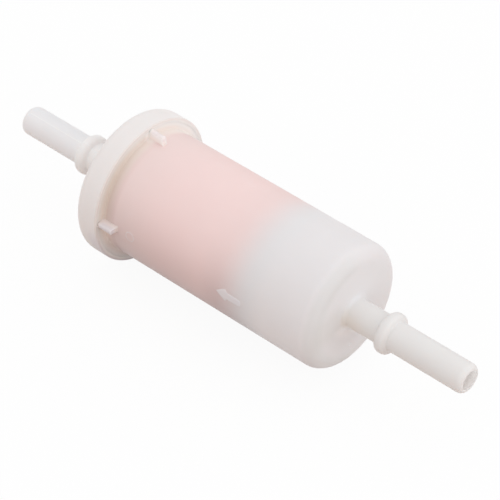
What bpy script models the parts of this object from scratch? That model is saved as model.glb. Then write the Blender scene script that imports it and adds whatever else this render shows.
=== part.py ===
"""In-line fuel filter: a moulded housing with a pleated paper element sealed inside it.

The filter lies along X on the rim of its cap. The inlet spigot points to +X and the outlet spigot
to -X. Fuel enters the housing, passes through the paper from outside to inside, runs along the core
tube and leaves through the cap.
"""

import math

import bmesh
import bpy

# Fits between pieces
SEAT_GAP = 0.0003
SEAL_GAP = 0.0002
RIM_GAP = 0.0002

# Spigots at both ends, for a 5/16 inch quick connector
TUBE_RADIUS = 0.00395
BORE_RADIUS = 0.0026
BEAD_RADIUS = 0.00545
BEAD_WIDTH = 0.0033
ROOT_FILLET = 0.0012
LEAD_IN_LENGTH = 0.00165
LEAD_IN_DEPTH = 0.0011
INLET_SPIGOT_LENGTH = 0.0354
INLET_BEAD_FROM_FACE = 0.0114
OUTLET_SPIGOT_LENGTH = 0.0353
OUTLET_BEAD_FROM_FACE = 0.0132

# Housing, a cup whose end wall carries the inlet spigot
HOUSING_RADIUS = 0.017
HOUSING_WALL = 0.0016
END_WALL = 0.002
END_FILLET = 0.00373
HOUSING_SHOWN_LENGTH = 0.0674

# Ribs from the housing's weld flange out past the collar's rim
RIB_COUNT = 4
RIB_THICKNESS = 0.0014
RIB_BEYOND_COLLAR = 0.00475
RIB_STEP = 0.00075

# Raised marks of the mould on the housing
MARK_HEIGHT = 0.00035
MARK_ROOT = 0.0006
ARROW_TIP_FROM_FACE = 0.0294
ARROW_LENGTH = 0.0079
ARROW_HEAD_LENGTH = 0.0029
ARROW_HEAD_WIDTH = 0.0034
ARROW_SHAFT_WIDTH = 0.0019
RING_MARK_FROM_FACE = 0.0584
RING_MARK_RADIUS = 0.0015
RING_MARK_LINE = 0.0004
GATE_PIP_RADIUS = 0.0005
GATE_PIP_HEIGHT = 0.00025
GATE_PIP_FROM_AXIS = 0.01045
GATE_PIP_ANGLE = math.radians(184.7)

# Outlet cap, a disc with a collar around the housing's open end
COLLAR_SPACE = 0.00195
COLLAR_WALL = 0.00115
COLLAR_LENGTH = 0.0076
COLLAR_FRONT_EDGE = 0.00045
COLLAR_RECESS = 0.0007
COLLAR_BACK_FILLET = 0.00275
CAP_FLOOR = 0.0024
CAP_PLUG_WALL = 0.0015
CAP_PLUG_LENGTH = 0.003
SOCKET_RADIUS = 0.0046
SOCKET_WALL = 0.0013
SOCKET_LENGTH = 0.0054

# Filter element
DISC_SPACE = 0.0008
DISC_THICKNESS = 0.0015
DISC_LIP_WALL = 0.0005
OUTLET_LIP_LENGTH = 0.0022
INLET_LIP_LENGTH = 0.002
HUB_LENGTH = 0.002
CHAMBER_LENGTH = 0.018
CORE_RADIUS = 0.0062
CORE_WALL = 0.0009
CORE_ROWS = 7
CORE_COLUMNS = 8
CORE_RING_WIDTH = 0.0012
PLEATS = 32
PAPER_THICKNESS = 0.00045
INNER_FOLD_GAP = 0.0002
OUTER_FOLD_RADIUS = 0.00055
NECK_WALL = 0.0015
GROOVE_DEPTH = 0.001
GROOVE_FROM_NECK_END = 0.0016

# Facets of the round forms
HOUSING_SIDES = 52
DISC_SIDES = 40
SEAL_SIDES = 32
SEAL_SECTION_SIDES = 8
SIDES_PER_WINDOW = 3
FILLET_STEPS = 5
SMALL_FILLET_STEPS = 3
BEAD_STEPS = 8
FOLD_STEPS = 4
SHARP_ANGLE = math.radians(32)

# Stations along the axis, from the middle of the filter's length
FILTER_LENGTH = INLET_SPIGOT_LENGTH + HOUSING_SHOWN_LENGTH + COLLAR_LENGTH + OUTLET_SPIGOT_LENGTH
END_FACE_X = FILTER_LENGTH / 2 - INLET_SPIGOT_LENGTH
CAP_BACK_X = OUTLET_SPIGOT_LENGTH - FILTER_LENGTH / 2
CAP_FLOOR_X = CAP_BACK_X + CAP_FLOOR
OUTLET_DISC_X = CAP_FLOOR_X + SOCKET_LENGTH + SEAT_GAP
INLET_DISC_X = END_FACE_X - END_WALL - CHAMBER_LENGTH

# Sizes that follow from the fits
HOUSING_BORE = HOUSING_RADIUS - HOUSING_WALL
HOUSING_LENGTH = END_FACE_X - CAP_FLOOR_X - SEAT_GAP
COLLAR_BORE = HOUSING_RADIUS + COLLAR_SPACE
COLLAR_RADIUS = COLLAR_BORE + COLLAR_WALL
FLANGE_RADIUS = COLLAR_BORE - SEAT_GAP
FLANGE_FROM_FACE = HOUSING_SHOWN_LENGTH + COLLAR_RECESS
RIB_RADIUS = FLANGE_RADIUS + RIB_STEP
CAP_PLUG_RADIUS = HOUSING_BORE - SEAT_GAP
NECK_RADIUS = BORE_RADIUS + NECK_WALL
NECK_LENGTH = OUTLET_DISC_X - CAP_FLOOR_X - SEAT_GAP
GROOVE_RADIUS = NECK_RADIUS - GROOVE_DEPTH
SEAL_SECTION_RADIUS = (SOCKET_RADIUS - GROOVE_RADIUS) / 2 - SEAL_GAP
SEAL_CENTRE_RADIUS = (SOCKET_RADIUS + GROOVE_RADIUS) / 2
GROOVE_WIDTH = 2 * (SEAL_SECTION_RADIUS + SEAL_GAP)
HUB_RADIUS = CORE_RADIUS - CORE_WALL - SEAT_GAP
DISC_RADIUS = HOUSING_BORE - DISC_SPACE
LIP_BORE = DISC_RADIUS - DISC_LIP_WALL
PAPER_START_X = OUTLET_DISC_X + DISC_THICKNESS + SEAT_GAP
ELEMENT_LENGTH = INLET_DISC_X - DISC_THICKNESS - SEAT_GAP - PAPER_START_X


def plastic(name, colour, roughness):
    """A material for one piece, with its colour and roughness."""
    made = bpy.data.materials.new(name)
    made.use_nodes = True
    shader = made.node_tree.nodes["Principled BSDF"]
    shader.inputs["Base Color"].default_value = (*colour, 1)
    shader.inputs["Roughness"].default_value = roughness
    shader.inputs["Metallic"].default_value = 0
    return made


def arc(x, r, radius_x, radius_r, start, end, steps):
    """Points of an arc about (x, r), from start to end in degrees, measured from +X towards +R."""
    angles = [math.radians(start + (end - start) * step / steps) for step in range(steps + 1)]
    return [(x + radius_x * math.cos(a), r + radius_r * math.sin(a)) for a in angles]


def spigot(face_x, length, bead_from_face, away):
    """Outside of a spigot from its root fillet to its flat tip. It points to +X for away = 1."""
    tip = face_x + away * length
    bead = face_x + away * bead_from_face
    root_x = face_x + away * ROOT_FILLET
    root_r = TUBE_RADIUS + ROOT_FILLET
    shoulder = TUBE_RADIUS - LEAD_IN_DEPTH
    bead_height = BEAD_RADIUS - TUBE_RADIUS
    half_bead = away * BEAD_WIDTH / 2
    points = arc(root_x, root_r, -away * ROOT_FILLET, ROOT_FILLET, 0, -90, SMALL_FILLET_STEPS)
    points += arc(bead, TUBE_RADIUS, -half_bead, bead_height, 0, 180, BEAD_STEPS)
    lead_in = away * LEAD_IN_LENGTH
    points += arc(tip - lead_in, shoulder, lead_in, LEAD_IN_DEPTH, 90, 0, FILLET_STEPS)
    return points


def finish(name, mesh, material, parent, place=(0, 0, 0)):
    """Puts a finished bmesh into the scene as an object under its parent."""
    bmesh.ops.recalc_face_normals(mesh, faces=mesh.faces)
    data = bpy.data.meshes.new(name)
    mesh.to_mesh(data)
    mesh.free()
    data.shade_smooth()
    data.set_sharp_from_angle(angle=SHARP_ANGLE)
    data.materials.append(material)
    made = bpy.data.objects.new(name, data)
    bpy.context.scene.collection.objects.link(made)
    made.parent = parent
    made.location = place
    return made


def turned(outline, sides):
    """The solid swept by an outline of (x, r) points in one turn about X.

    The outline is closed, or open with both of its ends on the axis.
    """
    mesh = bmesh.new()
    corners = [mesh.verts.new((x, 0, r)) for x, r in outline]
    edges = [mesh.edges.new(pair) for pair in zip(corners, corners[1:])]
    if outline[0][1] > 0:
        edges.append(mesh.edges.new((corners[-1], corners[0])))
    bmesh.ops.spin(
        mesh, geom=corners + edges, cent=(0, 0, 0), axis=(1, 0, 0), angle=math.tau, steps=sides
    )
    bmesh.ops.remove_doubles(mesh, verts=mesh.verts, dist=1e-7)
    return mesh


def add_prism(mesh, bottom, top, faces):
    """Joins two like sets of points, each covered by the given faces, by walls along their outline."""
    low = [mesh.verts.new(point) for point in bottom]
    high = [mesh.verts.new(point) for point in top]
    used = {}
    for face in faces:
        mesh.faces.new([low[i] for i in reversed(face)])
        mesh.faces.new([high[i] for i in face])
        for pair in zip(face, face[1:] + face[:1]):
            used[pair] = used.get(tuple(reversed(pair)), 0) + 1
            used[tuple(reversed(pair))] = used[pair]
    for a, b in [pair for face in faces for pair in zip(face, face[1:] + face[:1])]:
        if used[(a, b)] == 1:
            mesh.faces.new((low[a], low[b], high[b], high[a]))


def join(body, tool, operation):
    """Unites a body with a tool, or cuts the tool from it, and hides the tool."""
    modifier = body.modifiers.new(tool.name, "BOOLEAN")
    modifier.operation = operation
    modifier.solver = "EXACT"
    modifier.object = tool
    tool.hide_render = True
    tool.display_type = "WIRE"


def around(r, angle):
    """The y and z of a point at radius r, turned by an angle from +Z towards +Y."""
    return r * math.sin(angle), r * math.cos(angle)


def housing_outline():
    """The cup from its end face, x = 0, along the spigot, back through the bore to the open end."""
    outline = spigot(0, INLET_SPIGOT_LENGTH, INLET_BEAD_FROM_FACE, 1)
    outline.append((INLET_SPIGOT_LENGTH, BORE_RADIUS))
    inner_fillet = END_FILLET - HOUSING_WALL
    outline.append((-END_WALL, BORE_RADIUS))
    corner_x = -END_WALL - inner_fillet
    corner_r = HOUSING_BORE - inner_fillet
    outline += arc(corner_x, corner_r, inner_fillet, inner_fillet, 0, 90, SMALL_FILLET_STEPS)[:-1]
    outline.append((corner_x, HOUSING_BORE))
    outline.append((-HOUSING_LENGTH, HOUSING_BORE))
    outline.append((-HOUSING_LENGTH, FLANGE_RADIUS))
    outline.append((-FLANGE_FROM_FACE, FLANGE_RADIUS))
    outline.append((-FLANGE_FROM_FACE, HOUSING_RADIUS))
    fillet_r = HOUSING_RADIUS - END_FILLET
    outline += arc(-END_FILLET, fillet_r, END_FILLET, END_FILLET, 90, 0, FILLET_STEPS)
    return outline


def ribs(material, parent):
    """Ribs from the weld flange along the wall, each with a step up in front of the rim."""
    mesh = bmesh.new()
    start = -FLANGE_FROM_FACE - COLLAR_RECESS
    step = -HOUSING_SHOWN_LENGTH + RIM_GAP
    end = -HOUSING_SHOWN_LENGTH + RIB_BEYOND_COLLAR
    root = HOUSING_BORE + HOUSING_WALL / 2
    low = FLANGE_RADIUS - RIM_GAP
    side = [(start, root), (step, root), (end, root), (end, RIB_RADIUS), (step, RIB_RADIUS)]
    side += [(step, low), (start, low)]
    for number in range(RIB_COUNT):
        turn = math.tau * number / RIB_COUNT
        across = [half * RIB_THICKNESS / 2 for half in (-1, 1)]
        walls = [
            [
                (x, r * math.sin(turn) + t * math.cos(turn), r * math.cos(turn) - t * math.sin(turn))
                for x, r in side
            ]
            for t in across
        ]
        add_prism(mesh, walls[0], walls[1], [(0, 1, 5, 6), (1, 2, 3, 4, 5)])
    return finish("flange_ribs", mesh, material, parent)


def flow_arrow(material, parent):
    """A raised arrow along the front of the housing, curved with it and pointing to the cap."""
    tip = -ARROW_TIP_FROM_FACE
    neck = tip + ARROW_HEAD_LENGTH
    tail = tip + ARROW_LENGTH
    barb = ARROW_HEAD_WIDTH / 2
    shaft = ARROW_SHAFT_WIDTH / 2
    points = [(tip, 0), (neck, barb), (neck, shaft), (tail, shaft)]
    points += [(tail, 0), (tail, -shaft), (neck, -shaft), (neck, -barb), (neck, 0)]
    faces = [(0, 1, 2, 8), (8, 2, 3, 4), (8, 4, 5, 6), (0, 8, 6, 7)]
    shells = []
    for r in (HOUSING_RADIUS - MARK_ROOT, HOUSING_RADIUS + MARK_HEIGHT):
        shells.append([(x, *around(r, w / HOUSING_RADIUS - math.pi / 2)) for x, w in points])
    mesh = bmesh.new()
    add_prism(mesh, shells[0], shells[1], faces)
    return finish("flow_arrow", mesh, material, parent)


def ring_mark(material, parent):
    """A small raised ring on the front of the housing, near the collar."""
    low = HOUSING_RADIUS - MARK_ROOT
    high = HOUSING_RADIUS + MARK_HEIGHT / 2
    inner = RING_MARK_RADIUS - RING_MARK_LINE
    outline = [(low, inner), (low, RING_MARK_RADIUS), (high, RING_MARK_RADIUS), (high, inner)]
    place = (-RING_MARK_FROM_FACE, 0, 0)
    made = finish("ring_mark", turned(outline, SEAL_SIDES // 2), material, parent, place)
    made.rotation_euler = (0, 0, -math.pi / 2)
    return made


def gate_pip(material, parent):
    """The trimmed moulding gate on the housing's end face."""
    outline = [(-END_WALL / 2, 0), (-END_WALL / 2, GATE_PIP_RADIUS)]
    outline += [(GATE_PIP_HEIGHT, GATE_PIP_RADIUS), (GATE_PIP_HEIGHT, 0)]
    place = (0, *around(GATE_PIP_FROM_AXIS, GATE_PIP_ANGLE))
    return finish("gate_pip", turned(outline, SEAL_SIDES // 2), material, parent, place)


def housing(parent):
    """The cup with its inlet spigot, weld flange, ribs and raised marks."""
    nylon = plastic("housing_nylon", (0.82, 0.78, 0.74), 0.38)
    mesh = turned(housing_outline(), HOUSING_SIDES)
    made = finish("housing", mesh, nylon, parent, (END_FACE_X, 0, 0))
    for feature in (ribs, flow_arrow, ring_mark, gate_pip):
        join(made, feature(nylon, made), "UNION")
    return made


def outlet_cap(parent):
    """The cap from its back face, x = 0: spigot, bore, seal socket, locating plug and collar."""
    outline = spigot(0, OUTLET_SPIGOT_LENGTH, OUTLET_BEAD_FROM_FACE, -1)
    outline.append((-OUTLET_SPIGOT_LENGTH, BORE_RADIUS))
    outline += [(CAP_FLOOR, BORE_RADIUS), (CAP_FLOOR, SOCKET_RADIUS)]
    socket_end = CAP_FLOOR + SOCKET_LENGTH
    outline += [(socket_end, SOCKET_RADIUS), (socket_end, SOCKET_RADIUS + SOCKET_WALL)]
    plug_end = CAP_FLOOR + CAP_PLUG_LENGTH
    plug_bore = CAP_PLUG_RADIUS - CAP_PLUG_WALL
    outline += [(CAP_FLOOR, SOCKET_RADIUS + SOCKET_WALL), (CAP_FLOOR, plug_bore)]
    outline += [(plug_end, plug_bore), (plug_end, CAP_PLUG_RADIUS), (CAP_FLOOR, CAP_PLUG_RADIUS)]
    edge = COLLAR_FRONT_EDGE
    outline += [(CAP_FLOOR, COLLAR_BORE), (COLLAR_LENGTH - edge, COLLAR_BORE)]
    outline += [(COLLAR_LENGTH, COLLAR_BORE + edge), (COLLAR_LENGTH, COLLAR_RADIUS - edge)]
    outline.append((COLLAR_LENGTH - edge, COLLAR_RADIUS))
    back_r = COLLAR_RADIUS - COLLAR_BACK_FILLET
    back = COLLAR_BACK_FILLET
    outline += arc(back, back_r, back, back, 90, 180, FILLET_STEPS)
    nylon = plastic("cap_nylon", (0.84, 0.81, 0.78), 0.4)
    return finish("outlet_cap", turned(outline, HOUSING_SIDES), nylon, parent, (CAP_BACK_X, 0, 0))


def outlet_end_disc(parent):
    """The open end disc, x = 0 at its outer face: neck with a seal groove, plate, hub and lip."""
    neck_end = -NECK_LENGTH
    groove = neck_end + GROOVE_FROM_NECK_END
    groove_end = groove + GROOVE_WIDTH
    hub_end = DISC_THICKNESS + HUB_LENGTH
    lip_end = DISC_THICKNESS + OUTLET_LIP_LENGTH
    outline = [(neck_end, BORE_RADIUS), (neck_end, NECK_RADIUS), (groove, NECK_RADIUS)]
    outline += [(groove, GROOVE_RADIUS), (groove_end, GROOVE_RADIUS), (groove_end, NECK_RADIUS)]
    outline += [(0, NECK_RADIUS), (0, DISC_RADIUS), (lip_end, DISC_RADIUS), (lip_end, LIP_BORE)]
    outline += [(DISC_THICKNESS, LIP_BORE), (DISC_THICKNESS, HUB_RADIUS)]
    outline += [(hub_end, HUB_RADIUS), (hub_end, BORE_RADIUS)]
    nylon = plastic("disc_nylon", (0.70, 0.67, 0.63), 0.5)
    mesh = turned(outline, DISC_SIDES)
    return finish("outlet_end_disc", mesh, nylon, parent, (OUTLET_DISC_X, 0, 0))


def inlet_end_disc(parent):
    """The closed end disc, x = 0 at its outer face, with a hub and a lip towards the paper."""
    inner = -DISC_THICKNESS
    hub_end = inner - HUB_LENGTH
    lip_end = inner - INLET_LIP_LENGTH
    outline = [(0, 0), (0, DISC_RADIUS), (lip_end, DISC_RADIUS), (lip_end, LIP_BORE)]
    outline += [(inner, LIP_BORE), (inner, HUB_RADIUS), (hub_end, HUB_RADIUS), (hub_end, 0)]
    nylon = plastic("closed_disc_nylon", (0.72, 0.69, 0.65), 0.5)
    mesh = turned(outline, DISC_SIDES)
    return finish("inlet_end_disc", mesh, nylon, parent, (INLET_DISC_X, 0, 0))


def core_tube(parent):
    """A tube between the end discs with rows of windows: a grid without them, given a wall inwards."""
    sides_per_column = SIDES_PER_WINDOW + 1
    sides = CORE_COLUMNS * sides_per_column
    window = (ELEMENT_LENGTH - CORE_RING_WIDTH) / CORE_ROWS - CORE_RING_WIDTH
    stations = [0]
    for _ in range(CORE_ROWS):
        stations += [stations[-1] + CORE_RING_WIDTH, stations[-1] + CORE_RING_WIDTH + window]
    stations.append(ELEMENT_LENGTH)
    mesh = bmesh.new()
    rings = [
        [mesh.verts.new((x, *around(CORE_RADIUS, math.tau * side / sides))) for side in range(sides)]
        for x in stations
    ]
    for level, (near, far) in enumerate(zip(rings, rings[1:])):
        for side in range(sides):
            after = (side + 1) % sides
            if level % 2 == 0 or side % sides_per_column == SIDES_PER_WINDOW:
                mesh.faces.new((near[side], near[after], far[after], far[side]))
    bmesh.ops.recalc_face_normals(mesh, faces=mesh.faces)
    nylon = plastic("core_nylon", (0.80, 0.77, 0.72), 0.45)
    made = finish("core_tube", mesh, nylon, parent, (PAPER_START_X, 0, 0))
    wall = made.modifiers.new("wall", "SOLIDIFY")
    wall.thickness = CORE_WALL
    wall.offset = -1
    wall.use_even_offset = True
    return made


def pleat_skin(offset):
    """One skin of the pleated paper around the axis, as (angle, r) points at an offset from its middle.

    Each pleat is an arc at its outer fold, an arc at its inner fold and the straight flanks between
    them, which lie on the inner common tangents of the two fold circles.
    """
    half_pitch = math.pi / PLEATS
    inner_fold = PAPER_THICKNESS / 2 + INNER_FOLD_GAP / 2
    outer_centre = LIP_BORE - SEAT_GAP - PAPER_THICKNESS / 2 - OUTER_FOLD_RADIUS
    inner_centre = CORE_RADIUS + SEAT_GAP + PAPER_THICKNESS / 2 + inner_fold
    along = outer_centre - inner_centre * math.cos(half_pitch)
    across = inner_centre * math.sin(half_pitch)
    between = math.hypot(along, across)
    lean = math.atan2(across, along)
    normal = math.pi - lean - math.acos((OUTER_FOLD_RADIUS + inner_fold) / between)
    outer_turns = [normal * (2 * step / FOLD_STEPS - 1) for step in range(FOLD_STEPS + 1)]
    inner_steps = FOLD_STEPS - 1
    span = normal + half_pitch
    inner_turns = [span * (1 - 2 * step / inner_steps) for step in range(inner_steps + 1)]
    points = []
    for pleat in range(PLEATS):
        middle = 2 * half_pitch * pleat
        for turn in outer_turns:
            radius = OUTER_FOLD_RADIUS + offset
            points.append(polar_sum(outer_centre, middle, radius, middle + turn))
        middle += half_pitch
        for turn in inner_turns:
            radius = inner_fold - offset
            points.append(polar_sum(inner_centre, middle, radius, middle + math.pi + turn))
    return points


def polar_sum(r, angle, radius, direction):
    """The y and z of a point on a fold circle whose centre is at (r, angle)."""
    y, z = around(r, angle)
    add_y, add_z = around(radius, direction)
    return y + add_y, z + add_z


def pleated_paper(parent):
    """The paper: a folded ring of even thickness, drawn out along the axis."""
    mesh = bmesh.new()
    skins = []
    for offset in (PAPER_THICKNESS / 2, -PAPER_THICKNESS / 2):
        skins.append([mesh.verts.new((0, y, z)) for y, z in pleat_skin(offset)])
    outer, inner = skins
    count = len(outer)
    for start in range(count):
        after = (start + 1) % count
        mesh.faces.new((outer[start], outer[after], inner[after], inner[start]))
    drawn = bmesh.ops.extrude_face_region(mesh, geom=mesh.faces[:], use_keep_orig=True)
    moved = [item for item in drawn["geom"] if isinstance(item, bmesh.types.BMVert)]
    bmesh.ops.translate(mesh, verts=moved, vec=(ELEMENT_LENGTH, 0, 0))
    paper = plastic("filter_paper", (0.80, 0.42, 0.36), 0.85)
    return finish("pleated_paper", mesh, paper, parent, (PAPER_START_X, 0, 0))


def neck_seal(parent):
    """The rubber ring in the groove of the outlet disc's neck."""
    step = 360 / SEAL_SECTION_SIDES
    radius = SEAL_SECTION_RADIUS
    outline = arc(0, SEAL_CENTRE_RADIUS, radius, radius, 0, 360 - step, SEAL_SECTION_SIDES - 1)
    rubber = plastic("seal_rubber", (0.03, 0.03, 0.03), 0.6)
    groove_start = OUTLET_DISC_X - NECK_LENGTH + GROOVE_FROM_NECK_END
    place = (groove_start + GROOVE_WIDTH / 2, 0, 0)
    return finish("neck_seal", turned(outline, SEAL_SIDES), rubber, parent, place)


def main():
    for old in list(bpy.data.objects):
        bpy.data.objects.remove(old, do_unlink=True)
    axis = bpy.data.objects.new("filter_axis", None)
    axis.location = (0, 0, COLLAR_RADIUS)
    bpy.context.scene.collection.objects.link(axis)
    for piece in (
        housing,
        outlet_cap,
        outlet_end_disc,
        inlet_end_disc,
        core_tube,
        pleated_paper,
        neck_seal,
    ):
        piece(axis)


main()
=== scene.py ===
"""Looks of an in-line fuel filter: smooth moulded nylon outside, a pleated paper element inside.

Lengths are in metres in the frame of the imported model. The filter's axis runs along X at the
height AXIS_Z, with the inlet spigot towards +X. Angles round the axis are measured from +Z
towards +Y, so the front of the filter, which faces -Y, is at -90 degrees.
"""

from math import acos, atan2, ceil, cos, pi, radians, sin, tau
from types import SimpleNamespace

import bpy
import numpy as np
from mathutils import Matrix, Vector


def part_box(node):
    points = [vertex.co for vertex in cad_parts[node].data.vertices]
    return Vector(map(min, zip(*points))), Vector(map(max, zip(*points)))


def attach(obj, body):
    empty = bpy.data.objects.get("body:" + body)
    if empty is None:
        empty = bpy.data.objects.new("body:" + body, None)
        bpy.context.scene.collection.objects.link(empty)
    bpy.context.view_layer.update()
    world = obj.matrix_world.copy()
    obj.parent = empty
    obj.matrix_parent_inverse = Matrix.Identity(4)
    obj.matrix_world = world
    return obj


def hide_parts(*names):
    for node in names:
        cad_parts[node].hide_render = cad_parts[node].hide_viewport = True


bl_info = {
    "name": "In-line fuel filter",
    "version": (1, 0, 0),
    "blender": (4, 5, 0),
    "location": "3D View > Sidebar > Fuel filter",
    "description": "Builds the moulded pieces, the paper element and the studio of a fuel filter",
    "category": "Object",
}

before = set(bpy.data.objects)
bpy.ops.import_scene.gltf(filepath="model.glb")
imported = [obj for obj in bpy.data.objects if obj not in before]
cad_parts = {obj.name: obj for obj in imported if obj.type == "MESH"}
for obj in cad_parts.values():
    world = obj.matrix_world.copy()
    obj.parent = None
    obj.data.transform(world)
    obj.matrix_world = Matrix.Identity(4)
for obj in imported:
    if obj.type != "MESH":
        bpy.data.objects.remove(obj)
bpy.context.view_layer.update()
BODY = "root"
HOUSING_LOW, HOUSING_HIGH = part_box("housing")
CAP_LOW, CAP_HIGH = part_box("outlet_cap")
PAPER_LOW, PAPER_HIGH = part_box("pleated_paper")
AXIS_Z = (CAP_LOW.z + CAP_HIGH.z) / 2
FRONT = -pi / 2

# Meshes
SHARP_ANGLE = radians(50)
ARC_STEP = radians(9)
LEAST_ARC_STEPS = 3
LEAST_COLUMN_GAP = radians(0.12)
LEAD_IN_POINTS = 12
TOUCH = 1e-6
FLAT_RUN = 3  # rib foot fillets, past the fillet
STEP_HEEL, STEP_LEAN, STEP_ROUND = 0.05, 0.02, 0.5  # of the height of a rib's step
MARK_MARGIN = 0.0002
ARROW_ROWS, RING_ROWS, PLAIN_ROWS, ARROW_COLUMNS = 74, 30, 12, 35
RING_SHARE = 0.6  # of the arrow's height
PIP_REACH, PIP_ROWS = 1.4, 13
PARTING_COLUMNS = (-1, -0.5, -0.2, 0.2, 0.5, 1)  # widths of the parting line
RIB_SKIN = 0.1  # of the foot fillet, above which the wall counts as a rib
LARGEST_POWER = 50  # of e in a soft least

# Sides of the raised marks: depth inside the outline where each starts and where it is full
ARROW_SIDE = (-0.00015, 0.0001)
RING_SIDE = (-0.0001, 0.00018)
PIP_SIDE = (-0.00008, 0.00012)
PARTING_SIDE = (-0.00005, 0.00008)


def setting(kind, **limits):
    """A maker of settings of one kind, which takes a setting's description and its default."""
    return lambda text, default: kind(description=text, default=default, **limits)


length = setting(bpy.props.FloatProperty, min=0, precision=5, unit="LENGTH")
angle = setting(bpy.props.FloatProperty, subtype="ANGLE")
factor = setting(bpy.props.FloatProperty, min=0, max=1, subtype="FACTOR")
number = setting(bpy.props.FloatProperty)
count = setting(bpy.props.IntProperty, min=3)
colour = setting(bpy.props.FloatVectorProperty, size=3, min=0, max=1, subtype="COLOR")
point = setting(bpy.props.FloatVectorProperty, size=3, precision=6, subtype="TRANSLATION")


class SpigotSizes(bpy.types.PropertyGroup):
    """The beaded tube at each end."""

    tube_radius: length("Outside of the tube", 0.00395)
    bore_radius: length("Fuel way through the tube", 0.0026)
    bead_radius: length("Outside of the bead", 0.00545)
    bead_foot: length("Width of the bead at the tube", 0.0035)
    bead_crown: length("Width of the bead's top, unrounded", 0.0022)
    bead_round: length("Rounding over the bead's top", 0.00125)
    bead_fillet: length("Fillet between the bead and the tube", 0.0004)
    root_fillet: length("Fillet where the tube leaves its face", 0.0012)
    lead_in_length: length("Rounded tube end, along the axis", 0.00165)
    lead_in_depth: length("Rounded tube end, towards the axis", 0.00115)
    inlet_length: length("From the housing's end face to the tip", 0.0354)
    inlet_bead: length("From the housing's end face to the bead", 0.0114)
    outlet_length: length("From the cap's back face to the tip", 0.0353)
    outlet_bead: length("From the cap's back face to the bead", 0.0132)
    parting_angle: angle("Angle of the mould's parting line", radians(-24.5))
    parting_height: length("Height of the parting line", 0.00004)
    parting_width: length("Width of the parting line", 0.00022)
    lip_edge: length("Rounding of the tip's inner edge", 0.0002)


class HousingSizes(bpy.types.PropertyGroup):
    """The moulded cup that holds the element."""

    radius: length("Outside of the cup", 0.017)
    wall: length("Thickness of the cup's wall", 0.0016)
    end_wall: length("Thickness of the cup's end", 0.002)
    end_fillet: length("Outer fillet of the cup's end", 0.00373)
    flange_gap: length("From the weld flange to the collar's bore", 0.00001)
    flange_cove: length("Fillet between the weld flange and the wall", 0.00045)
    edge: length("Small edge radius of the moulding", 0.00018)
    rib_count: count("Centring ribs round the open end", 4)
    rib_seat: length("Height of a rib inside the collar", 0.00193)
    rib_top: length("Height of a rib in front of the rim", 0.0024)
    rib_thickness: length("Thickness of a rib at its top", 0.0013)
    rib_draft: length("Widening of a rib's side to its foot", 0.00015)
    rib_reach: length("Length of a rib in front of the rim", 0.00475)
    rib_edge: length("Rounding of a rib's top edges", 0.00045)
    rib_foot: length("Fillet at a rib's foot", 0.0003)
    rim_gap: length("From the rim to the step of a rib", 0.00002)
    mark_height: length("Height of the raised arrow", 0.00013)
    arrow_tip: length("From the end face to the arrow's tip", 0.0294)
    arrow_length: length("From the arrow's tip to its tail", 0.0079)
    arrow_head: length("Length of the arrow's head", 0.0032)
    arrow_head_width: length("Width over the barbs", 0.0045)
    arrow_shaft_width: length("Width of the shaft", 0.00195)
    arrow_round: length("Softness of the arrow's corners", 0.00045)
    ring_centre: length("From the end face to the ring's centre", 0.0584)
    ring_radius: length("Outside of the ring mark", 0.0015)
    ring_line: length("Width of the ring mark's line", 0.0004)
    pip_radius: length("The trimmed gate on the end face", 0.0005)
    pip_height: length("Height of the trimmed gate", 0.00025)
    pip_from_axis: length("From the axis to the gate pip", 0.01045)
    pip_angle: angle("Angle of the pip round the axis", radians(-175.3))
    sides: count("Even columns round the axis", 150)


class CapSizes(bpy.types.PropertyGroup):
    """The moulded cap with its collar."""

    collar_wall: length("Thickness of the collar", 0.00115)
    collar_length: length("From the cap's back face to the rim", 0.0076)
    recess: length("From the rim back to the weld flange", 0.00001)
    front_edge: length("Edge radius of the rim", 0.0003)
    back_fillet: length("Fillet round the cap's back", 0.00275)
    floor: length("Thickness of the cap's disc", 0.0024)
    plug_wall: length("Ring that locates the housing", 0.0015)
    plug_length: length("Length of the locating ring", 0.003)
    socket_radius: length("Seat of the element's neck", 0.0046)
    socket_wall: length("Wall of the neck's seat", 0.0013)
    socket_length: length("Depth of the neck's seat", 0.0054)
    seat_gap: length("Clearance between seated pieces", 0.0003)
    sides: count("Even columns round the axis", 150)


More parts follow.
